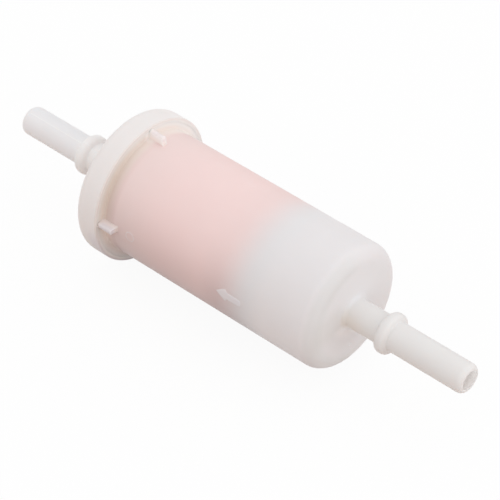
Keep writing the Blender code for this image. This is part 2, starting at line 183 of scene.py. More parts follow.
class NylonFinish(bpy.types.PropertyGroup):
    """Colours of the unpainted nylon and of what shows through it, with painted shade and painted
    light where the lamps fall unevenly.
    """

    housing: colour("Wall over the empty chamber", (0.828, 0.80, 0.808))
    end: colour("The housing's end face", (0.83, 0.815, 0.825))
    raised: colour("Arrow and ring mark", (0.915, 0.89, 0.925))
    raised_glow: colour("Arrow's head", (0.93, 0.865, 0.88))
    glow: colour("Wall over the paper", (0.935, 0.717, 0.697))
    haze: colour("Wall over the paper's outlet end", (0.885, 0.715, 0.693))
    cream: colour("Weld flange at its outer edge", (1.0, 0.985, 0.97))
    # Tan partly painted shade of the corner between the flange and the wall
    tan: colour("Wall at the weld flange", (0.965, 0.875, 0.835))
    # Painted shade on the flange, at its deepest
    flange_shade: colour("Flange where its shade is deepest", (0.80, 0.745, 0.69))
    # Painted light: the collar's front face lighter than the cap
    rim: colour("Front face of the collar", (0.96, 0.935, 0.92))
    # Painted shade on the rim, at its deepest
    rim_shade: colour("Rim where its shade is deepest", (0.89, 0.85, 0.81))
    # Painted shade that dims the rim's rounded edge
    edge_shade: colour("Rim's rounded edge", (0.92, 0.89, 0.865))
    # Painted shade on the wall's foot at the front
    foot_shade: colour("Wall in front of the flange", (0.86, 0.81, 0.82))
    # Painted shade on the collar's underside near the rim
    lip_shade: colour("Collar's underside near the rim", (0.905, 0.895, 0.93))
    # Painted shade on the cap's underside
    cap_low_shade: colour("Cap on its underside", (0.79, 0.75, 0.74))
    cap: colour("Thick nylon of the cap", (0.89, 0.843, 0.83))
    spigot: colour("Thin nylon of the cap's tube", (0.893, 0.877, 0.888))
    cap_neck: colour("Cap's tube from bead to root", (0.94, 0.91, 0.90))
    # Painted shade on the back of the cap's tube
    far_shade: colour("Back of the cap's tube", (0.935, 0.942, 0.945))
    neck: colour("Nylon of the housing's tube", (0.82, 0.80, 0.79))
    # Painted shade at the front of the housing's tube root
    root: colour("Front of the housing's tube at its root", (0.832, 0.785, 0.735))
    # Painted shade on the end face in front of the tube
    end_front_shade: colour("End face in front of the tube", (0.782, 0.764, 0.758))
    # Painted light on the end wall under the housing's tube
    root_light: colour("End wall under the housing's tube", (0.99, 0.975, 0.99))
    # Painted shade that dims the fillet round the end face
    fillet_shade: colour("Fillet round the end face", (0.93, 0.942, 0.932))
    # Painted light: the bores white for light through the thin wall
    bore: colour("Inside of the spigots", (1.0, 1.0, 1.0))
    rib: colour("Side of the upper rib", (0.93, 0.855, 0.85))
    # Painted light where the upper rib leaves the rim
    rib_root_light: colour("Upper rib where it leaves the rim", (1.0, 0.94, 0.90))
    # Painted shade on the upper rib's top and free end
    rib_top: colour("Top and free end of the upper rib", (0.828, 0.747, 0.745))
    # Painted shade: a lower rib's side and top darker than the upper rib's
    low_rib_shade: colour("Side of a lower rib", (0.76, 0.715, 0.73))
    low_top_shade: colour("Top and free end of a lower rib", (0.72, 0.675, 0.695))
    # Painted light: the upper rib's foot lighter and warmer
    rib_foot: colour("Foot of the upper rib", (0.94, 0.835, 0.80))
    # Painted shade: a lower rib's foot darker than the upper rib's
    low_foot_shade: colour("Foot of a lower rib", (0.86, 0.77, 0.74))
    # Painted highlight along the parting line
    flash: colour("Flash along the parting line", (0.95, 0.94, 0.93))
    glow_start: length("From the paper's outlet end back to the glow", 0.0001)
    start_fade: length("The glow's fade at the outlet end", 0.0024)
    glow_stop: length("From the paper's inlet end to the fade's end", 0.0027)
    stop_fade: length("The glow's fade at the inlet end", 0.012)
    stop_slant: factor("Lean of that fade towards the inlet at the top", 0.06)
    # Painted shade low on the underside
    limb: colour("Wall low on the underside", (0.90, 0.89, 0.90))
    # Painted shade on the glow at the back
    back: colour("Glow at the back", (0.94, 0.91, 0.90))
    haze_length: length("The haze in front of the rim", 0.018)
    # Painted shadow of the element's end disc where the glow fades out, deeper on the underside
    dip: colour("Glow where it fades out", (0.96, 0.982, 0.984))
    low_dip: colour("The same on the underside", (0.84, 0.858, 0.87))
    # Painted shade: how much the glow darkens towards the underside
    under_shade: factor("How much the glow deepens below", 0.25)
    roughness: factor("Satin gloss of the mouldings", 0.42)
    cloud: factor("Uneven tone of the nylon", 0.035)
    grain: factor("Fine relief of the moulded skin", 0.12)
    soft_share: factor("Light that passes through the skin", 0.35)
    soft_depth: length("How far light spreads inside the nylon", 0.0012)
    bore_depth: length("How far light spreads round a bore", 0.006)
    rib_depth: length("How far light spreads in a rib", 0.0015)


class ElementFinish(bpy.types.PropertyGroup):
    """Colours of the parts of the element."""

    paper: colour("Resin-treated filter paper", (0.72, 0.33, 0.27))
    disc: colour("Moulded end discs", (0.62, 0.58, 0.53))
    core: colour("Moulded core tube", (0.70, 0.67, 0.62))
    rubber: colour("Rubber seal", (0.02, 0.02, 0.022))
    fibre_scale: number("Fineness of the paper's fibres", 900)


class StudioSettings(bpy.types.PropertyGroup):
    """Camera, lamps, floor and surroundings."""

    azimuth: angle("Camera turned round from the front", radians(40.24))
    elevation: angle("Camera above the horizon", radians(40.245))
    roll: angle("Lean of the camera's upright", radians(-2.1745))
    distance: length("From the camera to its target", 0.6431)
    target: point("Point on the line of sight", (0.003947, -0.0000886, 0.019986))
    lens: number("Focal length in millimetres", 187.2)
    sensor: number("Width of the sensor in millimetres", 36)
    floor_size: length("Width of the floor", 6)
    surround: factor("Light of the white room", 0.90)
    floor_glow: factor("Even part of the floor's white", 0.93)
    floor_colour: colour("Lit part of the floor's white", (0.95, 0.95, 0.95))
    bounce_colour: colour("Floor as the object sees it", (0.665, 0.565, 0.515))
    overhead_watts: number("Power of the lamp overhead", 0.5)
    side_watts: number("Power of the lamp at the right", 2.95)


def stations(scene):
    """Places along the axis that the pieces share, and the collar's bore."""
    end_x = HOUSING_HIGH.x - scene.filter_spigot.inlet_length
    back_x = CAP_LOW.x + scene.filter_spigot.outlet_length
    return SimpleNamespace(
        end=end_x,
        back=back_x,
        floor=back_x + scene.filter_cap.floor,
        rim=back_x + scene.filter_cap.collar_length,
        flange=back_x + scene.filter_cap.collar_length - scene.filter_cap.recess,
        collar=CAP_HIGH.z - AXIS_Z,
        collar_bore=CAP_HIGH.z - AXIS_Z - scene.filter_cap.collar_wall,
    )


def smooth(value, low, high):
    """Eased step: 0 up to low, 1 from high, and 3 t squared less 2 t cubed between them."""
    share = np.clip((value - low) / (high - low), 0, 1)
    return share * share * (3 - 2 * share)


def turn_between(angles, centre):
    """How far each angle lies from a centre, wrapped to half a turn either way."""
    return (angles - centre + pi) % tau - pi


def rounded(corners):
    """A closed outline from rows of (x, r, radius): an arc that touches its sides at each corner.

    The arc's centre lies on the corner's bisector at radius / sin(half its opening), and its points
    are spaced by at most ARC_STEP. A corner with radius 0 stays a point.
    """
    corners = np.asarray(corners, float)
    places = corners[:, :2]
    runs = []
    for place, before, after, radius in zip(
        places, np.roll(places, 1, 0), np.roll(places, -1, 0), corners[:, 2]
    ):
        if radius == 0:
            runs.append(place[None])
            continue
        back = (before - place) / np.linalg.norm(before - place)
        on = (after - place) / np.linalg.norm(after - place)
        half = acos(np.clip(back @ on, -1, 1)) / 2
        middle = (back + on) / np.linalg.norm(back + on)
        centre = place + middle * radius / sin(half)
        across = (on - back) / np.linalg.norm(on - back)
        sweep = pi / 2 - half
        steps = max(LEAST_ARC_STEPS, ceil(2 * sweep / ARC_STEP) + 1)
        turns = np.linspace(-sweep, sweep, steps)[:, None]
        runs.append(centre + radius * (across * np.sin(turns) - middle * np.cos(turns)))
    return np.concatenate(runs)


def with_stations(outline, axis, level, stations):
    """The outline with points added at stations on its longest run at a level.

    axis is 0 to add points along X, and 1 to add points along the radius. The level is a value of
    the other coordinate.
    """
    start, end = outline, np.roll(outline, -1, 0)
    flat = (abs(start[:, 1 - axis] - level) < TOUCH) & (abs(end[:, 1 - axis] - level) < TOUCH)
    spans = np.where(flat, abs(end[:, axis] - start[:, axis]), 0)
    run = int(np.argmax(spans))
    first, last = start[run, axis], end[run, axis]
    inside = stations[(stations > min(first, last)) & (stations < max(first, last))]
    ordered = np.sort(inside) if last > first else np.sort(inside)[::-1]
    added = np.full((len(ordered), 2), level)
    added[:, axis] = ordered
    return np.insert(outline, run + 1, added, axis=0)


def spigot_corners(sizes, face_x, away, long, bead_from_face):
    """Corners of a spigot from its root to its bore: root, bead, lead-in and flat tip.

    The bead is a rounded bar with fillets at its foot, and the lead-in a quarter of an ellipse.
    """
    bead_x = face_x + away * bead_from_face
    foot, crown = away * sizes.bead_foot / 2, away * sizes.bead_crown / 2
    rows = [
        (face_x, sizes.tube_radius, sizes.root_fillet),
        (bead_x - foot, sizes.tube_radius, sizes.bead_fillet),
        (bead_x - crown, sizes.bead_radius, sizes.bead_round),
        (bead_x + crown, sizes.bead_radius, sizes.bead_round),
        (bead_x + foot, sizes.tube_radius, sizes.bead_fillet),
    ]
    turn = np.linspace(pi / 2, 0, LEAD_IN_POINTS)
    tip_x = face_x + away * long
    lead_x = tip_x - away * sizes.lead_in_length * (1 - np.cos(turn))
    lead_r = sizes.tube_radius - sizes.lead_in_depth * (1 - np.sin(turn))
    lead_in = np.stack([lead_x, lead_r, np.zeros_like(lead_x)], 1)
    return np.concatenate([rows, lead_in, [(tip_x, sizes.bore_radius, sizes.lip_edge)]])


def columns(even, clusters):
    """Angles round the axis: an even ring with finer clusters of (centre, offsets) let in."""
    found = [np.arange(even) * tau / even]
    found += [(centre + offsets) % tau for centre, offsets in clusters]
    ring = np.unique(np.concatenate(found))
    gaps = np.diff(ring, append=ring[0] + tau)
    return ring[gaps > LEAST_COLUMN_GAP]


def turned_grid(outline, angles):
    """Distance along the axis, distance from it and angle, each as a grid of outline by angle."""
    along = np.repeat(outline[:, :1], len(angles), 1)
    away = np.repeat(outline[:, 1:], len(angles), 1)
    around = np.repeat(angles[None], len(outline), 0)
    return along, away, around


def grid_points(along, away, around):
    """Points at those distances and angles about the filter's axis."""
    return np.stack([along, away * np.sin(around), AXIS_Z + away * np.cos(around)], -1)


def add_object(name, data):
    """An object in the scene that shows a mesh, a lamp or a camera."""
    made = bpy.data.objects.new(name, data)
    bpy.context.scene.collection.objects.link(made)
    return made


def grid_object(name, points, looks, kinds):
    """A mesh object from a grid of points that closes on itself in both directions.

    kinds holds the number of a look for each point. A face takes the least of its four corners.
    """
    rows, across = points.shape[:2]
    index = np.arange(rows * across).reshape(rows, across)
    beside = np.roll(index, -1, 1)
    below = np.roll(index, -1, 0)
    quads = np.stack([index, beside, np.roll(beside, -1, 0), below], -1).reshape(-1, 4)
    flat = points.reshape(-1, 3)
    a, b, c, d = (flat[quads[:, corner]] for corner in range(4))
    volume = np.einsum("ij,ij->", a, np.cross(b - a, c - a) + np.cross(c - a, d - a))
    if volume < 0:
        quads = quads[:, ::-1]
    mesh = bpy.data.meshes.new(name)
    mesh.from_pydata(flat.tolist(), [], quads.tolist())
    if mesh.validate():
        raise RuntimeError(f"{name} has faces that its grid should not have")
    mesh.shade_smooth()
    mesh.set_sharp_from_angle(angle=SHARP_ANGLE)
    for look in looks:
        mesh.materials.append(look)
    mesh.polygons.foreach_set("material_index", kinds.ravel()[quads].min(axis=1))
    return add_object(name, mesh)


def soft_least(blend, *depths):
    """The least of several depths, rounded where they meet.

    It is -blend times the logarithm of the sum of e^(-depth / blend).
    """
    powers = (np.clip(depth / blend, -LARGEST_POWER, LARGEST_POWER) for depth in depths)
    return -blend * np.log(sum(np.exp(-power) for power in powers))


def arrow_relief(sizes, along, across):
    """Share of the arrow's height: an eased step of the depth inside a triangle joined to a bar.

    The corners are rounded by the soft least of the depths behind each side, and the head joins the
    bar with the soft greatest.
    """
    blend = sizes.arrow_round
    barb = sizes.arrow_head_width / 2
    slope = cos(atan2(barb, sizes.arrow_head))
    side = (barb * along / sizes.arrow_head - across) * slope
    head = soft_least(blend, side, sizes.arrow_head - along)
    edge = sizes.arrow_shaft_width / 2 - across
    bar = soft_least(blend, edge, sizes.arrow_length - along, along - sizes.arrow_head / 2)
    return smooth(-soft_least(blend / 2, -head, -bar), *ARROW_SIDE)


def ring_relief(sizes, along, across):
    """Share of the ring mark's height: an eased step of the depth inside its line."""
    middle = sizes.ring_radius - sizes.ring_line / 2
    inside = sizes.ring_line / 2 - abs(np.hypot(along, across) - middle)
    return smooth(inside, *RING_SIDE)


def rib_section(sizes):
    """Half of a rib's section, as rows of distance along the wall and height above it."""
    foot = sizes.rib_thickness / 2 + sizes.rib_draft
    top = sizes.rib_thickness / 2 * sizes.radius / (sizes.radius + sizes.rib_top)
    corners = [
        (0, sizes.rib_top, 0),
        (top, sizes.rib_top, sizes.rib_edge),
        (foot, 0, sizes.rib_foot),
        (foot + FLAT_RUN * sizes.rib_foot, 0, 0),
    ]
    return rounded(corners)


def rib_side(sizes, rim_x):
    """A rib seen from its side, as rows of distance along the axis and height above the wall.

    Its step lies close round the edge of the collar's bore.
    """
    step_x = rim_x + sizes.rim_gap
    end_x = rim_x + sizes.rib_reach
    step = sizes.rib_top - sizes.rib_seat
    corners = [
        (step_x - sizes.rib_reach, sizes.rib_seat, 0),
        (step_x, sizes.rib_seat, step * STEP_HEEL),
        (step_x + step * STEP_LEAN, sizes.rib_top, step * STEP_ROUND),
        (end_x - sizes.rib_draft, sizes.rib_top, sizes.rib_edge),
        (end_x, 0, sizes.rib_foot),
        (end_x + FLAT_RUN * sizes.rib_foot, 0, 0),
    ]
    return rounded(corners)


def rib_relief(sizes, rim_x, along, around):
    """Height of the ribs: at each point the lower of a rib's section and its side."""
    pitch = tau / sizes.rib_count
    beside = abs((around + pitch / 2) % pitch - pitch / 2) * sizes.radius
    section = np.interp(beside, *rib_section(sizes).T)
    side = np.interp(along, *rib_side(sizes, rim_x).T)
    return np.minimum(section, side)


WHITE = (1, 1, 1)
FLOAT, COLOUR, VECTOR = "NodeSocketFloat", "NodeSocketColor", "NodeSocketVector"

# The nylon's clouds, specks, gloss and skin, with noises as (scale, detail)
CLOUDS, SKIN, WAVES = (160, 3), (2600, 2), (320, 1)
WAVE_HEIGHT = 3.0  # of the skin's
SKIN_DEPTH = 0.00002
GLOSS_SWING = 0.10
SPECK_SCALE, SPECK_EDGE = 210, (0.032, 0.018)
SPECK_PICK, SPECK_STRENGTH, SPECK_COLOUR = 0.985, 0.55, (0.25, 0.17, 0.12)
NYLON_IOR, NYLON_GLOSS = 1.5, 0.35
SOFT_RADII = (1.0, 0.9, 0.85)

# Paper and rubber
FIBRE_DETAIL, FIBRE_SPAN, PALE_FIBRE = 6, (0.35, 0.7), 1.25
FIBRE_RELIEF, FIBRE_DEPTH, PAPER_ROUGHNESS = 0.3, 0.00005, 0.9
BLOOM, BLOOM_COLOUR, BLOOM_GLOSS = (700, 4), (0.06, 0.06, 0.06), (-0.6, 1.2)

# Fades of the nylon's tones, most of them painted shade and painted light: the place where each
# starts and the place where it is full.
# Along the axis, in metres from the collar's rim
SHADE_ALONG = (0.004, 0)
FOOT_IN, FOOT_OUT = (0.0004, 0.001), (0.004, 0.0014)
RIB_ROOT = (0.0007, 0.0002)
RIM_FACE = (-0.0003, -0.00003)
RIM_EDGE = (-0.0006, -0.00015)
LIP_ALONG = (-0.0042, -0.0018)
# Away from the axis, in metres from the collar's outside
RIM_FACE_AWAY = (-0.0001, -0.0009)
RIM_EDGE_AWAY = (-0.0009, -0.0003)
# Along the axis, in metres from the ribs' ends, the end face, the outlet bead and the origin
PAST_RIBS = (0.0006, 0.0012)
TUBE_START = 0.0003
NECK_ALONG = (-0.004, 0)
# Painted shadow of the end disc
DISC_SHADOW_IN, DISC_SHADOW_OUT = (0, 0.009), (0.024, 0.013)
# Depth behind the axis and height over it, in metres
CLEAR_OF_RIB = (0.0007, 0.0026)
FAR_DEPTH = (-0.0025, 0.001)
NEAR_DEPTH, NEAR_FOOT, NEAR_TOP = (-0.002, -0.007), (-0.0065, -0.001), (0.008, 0.002)
ROOT_DEPTH, ROOT_HEIGHT = (0.0005, -0.0035), (0.0045, -0.0005)
FILLET_DEPTH = (0.004, -0.004)
LIP_HEIGHT = (0, -0.007)
# In radii of the housing
UNDER_HEIGHT, LOW_HEIGHT, LIMB_HEIGHT = (0.78, -0.6), (-0.1, -0.65), (-0.25, -0.62)
BACK_DEPTH = (0.2, 0.75)
WALL_AWAY, LIMB_AWAY = (0.7, 0.95), (0.9, 1)
# In radii of the tube and of its root fillet
ROOT_AWAY = (1.45, 1.1)
UNDER_ROOT_HEIGHT, UNDER_ROOT_AWAY, UNDER_ROOT_ALONG = (-0.3, -1), (2.2, 1.15), (1, 0.3)
# In radii of the end fillet, heights of the marks, and edges, heights and lengths of a rib
FILLET_ALONG, FILLET_AWAY = (-0.8, -0.3), (-1.5, -0.8)
RAISED_AWAY = (0.2, 0.8)
RIB_EDGE, RIB_AWAY, RIB_ALONG = (-1, -0.1), (0.1, 0.75), (0, 0.3)

# Angle forward of the top where the painted shade on the flange and the rim is deepest, and the
# powers with which the painted shades fall off round the axis
LEE = radians(60)
FLANGE_POWER, RIM_POWER, EDGE_POWER, FOOT_POWER = 2.5, 3.0, 1.0, 6.0

# Lamps: where each one hangs, where it points, its width and its tint
OVERHEAD_LAMP = ((0.25, 0.25, 0.95), (0, 0, 0), 1.0, (1, 0.985, 0.97))
SIDE_LAMP = ((1.2, 0.08, 0.32), (0, 0, 0.02), 1.1, (0.96, 0.98, 1))


class Tree:
    """Short calls for making nodes and links in one node tree."""

    def __init__(self, tree):
        self.tree = tree

    def node(self, kind, inputs=None, **settings):
        made = self.tree.nodes.new(kind)
        for name, value in settings.items():
            setattr(made, name, value)
        self.feed(made.inputs, inputs or {})
        return made

    def feed(self, sockets, values):
        """Links each value that is a socket, and stores any other, a colour with full alpha."""
        for name, value in values.items():
            socket = sockets[name]
            if isinstance(value, bpy.types.NodeSocket):
                self.tree.links.new(value, socket)
            elif socket.type == "RGBA":
                socket.default_value = (*value, 1)
            else:
                socket.default_value = value

    def value(self, kind, inputs=None, **settings):
        """The first output of a new node."""
        return self.node(kind, inputs, **settings).outputs[0]

    def math(self, operation, first, second=0.0, third=0.0, clamp=False):
        inputs = {0: first, 1: second, 2: third}
        return self.value("ShaderNodeMath", inputs, operation=operation, use_clamp=clamp)

    def product(self, first, *others):
        for other in others:
            first = self.math("MULTIPLY", first, other)
        return first

    def mix(self, share, first, second, blend="MIX"):
        inputs = {0: share, 6: first, 7: second}
        settings = {"data_type": "RGBA", "blend_type": blend, "clamp_factor": True}
        return self.node("ShaderNodeMix", inputs, **settings).outputs[2]

    def times(self, first, second):
        """Two colours multiplied."""
        return self.mix(1.0, first, second, "MULTIPLY")

    def toned(self, base, share, tone):
        """The base colour times a tone, as far as the share says."""
        return self.times(base, self.mix(share, WHITE, tone))

    def ease(self, value, low, high):
        """Eased step of a value, 0 at low and 1 at high."""
        inputs = {0: value, 1: low, 2: high}
        return self.value("ShaderNodeMapRange", inputs, interpolation_type="SMOOTHSTEP")

    def fade(self, value, span, origin=0.0, unit=1.0):
        """Eased step over a span of two places, which are counted in units from an origin."""
        return self.ease(value, *(origin + unit * place for place in span))

    def place(self):
        return self.node("ShaderNodeTexCoord").outputs["Object"]

    def noise(self, place, scale, detail):
        inputs = {"Vector": place, "Scale": scale, "Detail": detail}
        return self.value("ShaderNodeTexNoise", inputs)

    def bump(self, relief, strength, distance):
        inputs = {"Height": relief, "Strength": strength, "Distance": distance}
        return self.value("ShaderNodeBump", inputs)

    def shader_mix(self, share, first, second):
        return self.value("ShaderNodeMixShader", {0: share, 1: first, 2: second})

    def seen_by(self, *rays):
        """1 for the camera and for other kinds of ray, and 0 for the rest."""
        path = self.node("ShaderNodeLightPath").outputs
        return self.math("MAXIMUM", *(path[f"Is {ray} Ray"] for ray in rays))


class MaterialTree(Tree):
    """The tree of a new material."""

    def __init__(self, name):
        self.material = bpy.data.materials.new(name)
        self.material.use_nodes = True
        super().__init__(self.material.node_tree)

    def shaded(self, values):
        """The material, with values fed to its Principled BSDF."""
        self.feed(self.tree.nodes["Principled BSDF"].inputs, values)
        return self.material


def new_group(name, inputs, outputs):
    """An empty shader node group, whose inputs and outputs are given as name: type."""
    group = bpy.data.node_groups.new(name, "ShaderNodeTree")
    for side, sockets in (("INPUT", inputs), ("OUTPUT", outputs)):
        for label, kind in sockets.items():
            group.interface.new_socket(name=label, in_out=side, socket_type=kind)
    tree = Tree(group)
    return group, tree, tree.node("NodeGroupInput").outputs, tree.node("NodeGroupOutput").inputs


def cylinder_group():
    """Object coordinates about the axis: distance along it and away from it, height and depth."""
    group = bpy.data.node_groups.get("about_the_axis")
    if group:
        return group
    outputs = dict.fromkeys(("Along", "Away", "Height", "Depth"), FLOAT)
    group, tree, _, out = new_group("about_the_axis", {}, outputs)
    parts = tree.node("ShaderNodeSeparateXYZ", {0: tree.place()}).outputs
    depth = parts["Y"]
    height = tree.math("SUBTRACT", parts["Z"], AXIS_Z)
    squares = tree.math("ADD", tree.product(depth, depth), tree.product(height, height))
    away = tree.math("SQRT", squares)
    tree.feed(out, {"Along": parts["X"], "Away": away, "Height": height, "Depth": depth})
    return group


def nylon_group():
    """Moulded nylon: soft clouds in the colour, a few specks, uneven gloss and a fine skin."""
    group = bpy.data.node_groups.get("moulded_nylon")
    if group:
        return group
    inputs = {"Colour": COLOUR, "Roughness": FLOAT, "Clouding": FLOAT, "Grain": FLOAT}
    outputs = {"Colour": COLOUR, "Roughness": FLOAT, "Normal": VECTOR}
    group, tree, ins, out = new_group("moulded_nylon", inputs, outputs)
    place = tree.place()
    swing = tree.math("SUBTRACT", tree.noise(place, *CLOUDS), 0.5)
    level = tree.math("MULTIPLY_ADD", swing, ins["Clouding"], 1.0)
    tone = tree.value("ShaderNodeCombineColor", {0: level, 1: level, 2: level})
    cells = tree.node("ShaderNodeTexVoronoi", {"Vector": place, "Scale": SPECK_SCALE}).outputs
    dot = tree.ease(cells["Distance"], *SPECK_EDGE)
    pick = tree.value("ShaderNodeSeparateColor", {0: cells["Color"]})
    chosen = tree.math("GREATER_THAN", pick, SPECK_PICK)
    speck = tree.product(dot, chosen, SPECK_STRENGTH)
    waves = tree.product(tree.noise(place, *WAVES), WAVE_HEIGHT)
    relief = tree.math("ADD", tree.noise(place, *SKIN), waves)
    values = {
        "Colour": tree.mix(speck, tree.times(ins["Colour"], tone), SPECK_COLOUR),
        "Roughness": tree.math("MULTIPLY_ADD", swing, GLOSS_SWING, ins["Roughness"]),
        "Normal": tree.bump(relief, ins["Grain"], SKIN_DEPTH),
    }
    tree.feed(out, values)
    return group


class NylonTree(MaterialTree):
    """The tree of a nylon material, with its places about the axis and the sizes it follows."""

    def __init__(self, name, scene):
        super().__init__(name)
        places = self.node("ShaderNodeGroup", node_tree=cylinder_group()).outputs
        self.along, self.away = places["Along"], places["Away"]
        self.height, self.depth = places["Height"], places["Depth"]
        self.nylon = scene.filter_nylon
        self.housing = scene.filter_housing
        self.spigot = scene.filter_spigot
        self.at = stations(scene)

    def lee(self, forward, power):
        """1 at an angle forward of the top, falling to 0 opposite it: the share of a painted shade
        round the axis.

        It is (1 + cosine of the angle from there) / 2, to the given power.
        """
        upright = self.product(self.height, cos(forward))
        lean = self.math("MULTIPLY_ADD", self.depth, -sin(forward), upright)
        half = self.math("MULTIPLY_ADD", self.math("DIVIDE", lean, self.away), 0.5, 0.5)
        return self.math("POWER", half, power)

    def finish(self, plain, clear_depth=None):
        """The material, with the moulded skin over a plain colour.

        Thin nylon lets the light through from its other side, as far as clear_depth.
        """
        nylon = self.nylon
        values = {
            "Colour": plain,
            "Roughness": nylon.roughness,
            "Clouding": nylon.cloud,
            "Grain": nylon.grain,
        }
        skin = self.node("ShaderNodeGroup", values, node_tree=nylon_group()).outputs
        values = {
            "Base Color": skin["Colour"],
            "Roughness": skin["Roughness"],
            "Normal": skin["Normal"],
            "IOR": NYLON_IOR,
            "Specular IOR Level": NYLON_GLOSS,
            "Subsurface Weight": 1.0 if clear_depth else nylon.soft_share,
            "Subsurface Radius": WHITE if clear_depth else SOFT_RADII,
            "Subsurface Scale": clear_depth or nylon.soft_depth,
        }
        return self.shaded(values)


def bore_finish(scene):
    """Nylon inside the spigots, one material for both, painted white as light through the thin
    wall, besides the light its deep subsurface carries.
    """
    made = bpy.data.materials.get("bore_nylon")
    if made:
        return made
    tree = NylonTree("bore_nylon", scene)
    return tree.finish(tree.nylon.bore, tree.nylon.bore_depth)


def rib_finish(scene):
    """Nylon of the ribs: painted shade on the lower ribs and on the tops, and warmer, painted light
    at the foot and at the rim.
    """
    tree = NylonTree("rib_nylon", scene)
    nylon, sizes, rim = tree.nylon, tree.housing, tree.at.rim
    # Painted shade: darker on the lower ribs
    low = tree.ease(tree.height, sizes.radius, 0)
    side = tree.mix(low, nylon.rib, nylon.low_rib_shade)
    # Painted shade on the tops and free ends
    crown = tree.mix(low, nylon.rib_top, nylon.low_top_shade)
    over = tree.fade(tree.away, RIB_EDGE, sizes.radius + sizes.rib_top, sizes.rib_edge)
    end = tree.fade(tree.along, RIB_EDGE, rim + sizes.rib_reach, sizes.rib_edge)
    plain = tree.mix(tree.math("MAXIMUM", over, end), side, crown)
    # Painted light: lighter and warmer at the foot and near the rim
    warm = tree.mix(low, nylon.rib_foot, nylon.low_foot_shade)
    body = tree.product(
        tree.fade(tree.away, RIB_AWAY, sizes.radius, sizes.rib_top),
        tree.fade(tree.along, RIB_ALONG, rim, sizes.rib_reach),
    )
    plain = tree.mix(body, warm, plain)
    # Painted light where the upper rib leaves the rim
    root = tree.product(tree.fade(tree.along, RIB_ROOT, rim), tree.math("SUBTRACT", 1.0, low))
    return tree.finish(tree.mix(root, plain, nylon.rib_root_light), nylon.rib_depth)


def wall_at_paper(tree, deep):
    """The wall from the open end on: cream and tan at the weld flange, then the paper's pink; the
    tan is partly painted shade of the corner, painted shade falls on the flange and the wall's
    front foot, and the pink is painted darker below and at the back.
    """
    nylon, sizes, at = tree.nylon, tree.housing, tree.at
    start = PAPER_LOW.x - nylon.glow_start
    clear = tree.ease(tree.along, start, start + nylon.haze_length)
    # The pink, with the painted shade below
    glow = tree.times(tree.mix(clear, nylon.haze, nylon.glow), deep)
    # Painted shade on the glow at the back
    behind = tree.fade(tree.depth, BACK_DEPTH, unit=sizes.radius)
    glow = tree.toned(glow, behind, nylon.back)
    # Tan next to the wall, partly painted shade of the corner, cream at the collar's bore
    weld = tree.ease(tree.away, sizes.radius, at.collar_bore)
    flange = tree.mix(weld, nylon.tan, nylon.cream)
    half = nylon.start_fade / 2
    plain = tree.mix(tree.ease(tree.along, start - half, start + half), flange, glow)
    # Painted shade on the flange, deepest forward of the top and left off beside the ribs
    shade = tree.product(
        tree.lee(LEE, FLANGE_POWER),
        tree.ease(tree.math("ABSOLUTE", tree.depth), *CLEAR_OF_RIB),
        tree.fade(tree.along, SHADE_ALONG, at.rim),
    )
    plain = tree.toned(plain, shade, nylon.flange_shade)
    # Painted shade on the wall's foot at the front
    foot = tree.product(
        tree.fade(tree.along, FOOT_IN, at.rim),
        tree.fade(tree.along, FOOT_OUT, at.rim),
        tree.lee(-FRONT, FOOT_POWER),
    )
    return tree.toned(plain, foot, nylon.foot_shade)


def wall_past_paper(tree, wall):
    """Clear nylon past the paper: the wall, the end face with its fillet, and the inlet spigot,
    with painted shade on the end face's front, the fillet and the tube's root, and painted light
    under the tube.
    """
    nylon, sizes, spigot, end = tree.nylon, tree.housing, tree.spigot, tree.at.end
    along, away, height, depth = tree.along, tree.away, tree.height, tree.depth
    # Painted shade on the end face's front
    near_side = tree.product(
        tree.fade(depth, NEAR_DEPTH), tree.fade(height, NEAR_FOOT), tree.fade(height, NEAR_TOP)
    )
    face = tree.mix(near_side, nylon.end, nylon.end_front_shade)
    plain = tree.mix(wall, face, nylon.housing)
    tube = tree.fade(along, (TUBE_START, spigot.root_fillet), end)
    plain = tree.mix(tube, plain, nylon.neck)
    # Painted shade at the tube's root, at the front
    root = tree.product(
        tree.ease(along, end + spigot.inlet_bead, end),
        tree.fade(away, ROOT_AWAY, unit=spigot.tube_radius),
        tree.fade(depth, ROOT_DEPTH),
        tree.fade(height, ROOT_HEIGHT),
    )
    plain = tree.mix(root, plain, nylon.root)
    # Painted light on the end wall under the tube
    under_root = tree.product(
        tree.fade(height, UNDER_ROOT_HEIGHT, unit=spigot.tube_radius),
        tree.fade(away, UNDER_ROOT_AWAY, unit=spigot.tube_radius),
        tree.fade(along, UNDER_ROOT_ALONG, end, spigot.root_fillet),
    )
    plain = tree.mix(under_root, plain, nylon.root_light)
    # Painted shade that dims the fillet
    fillet = tree.product(
        tree.fade(along, FILLET_ALONG, end, sizes.end_fillet),
        tree.fade(away, FILLET_AWAY, sizes.radius, sizes.end_fillet),
        tree.fade(depth, FILLET_DEPTH),
    )
    return tree.toned(plain, fillet, nylon.fillet_shade)


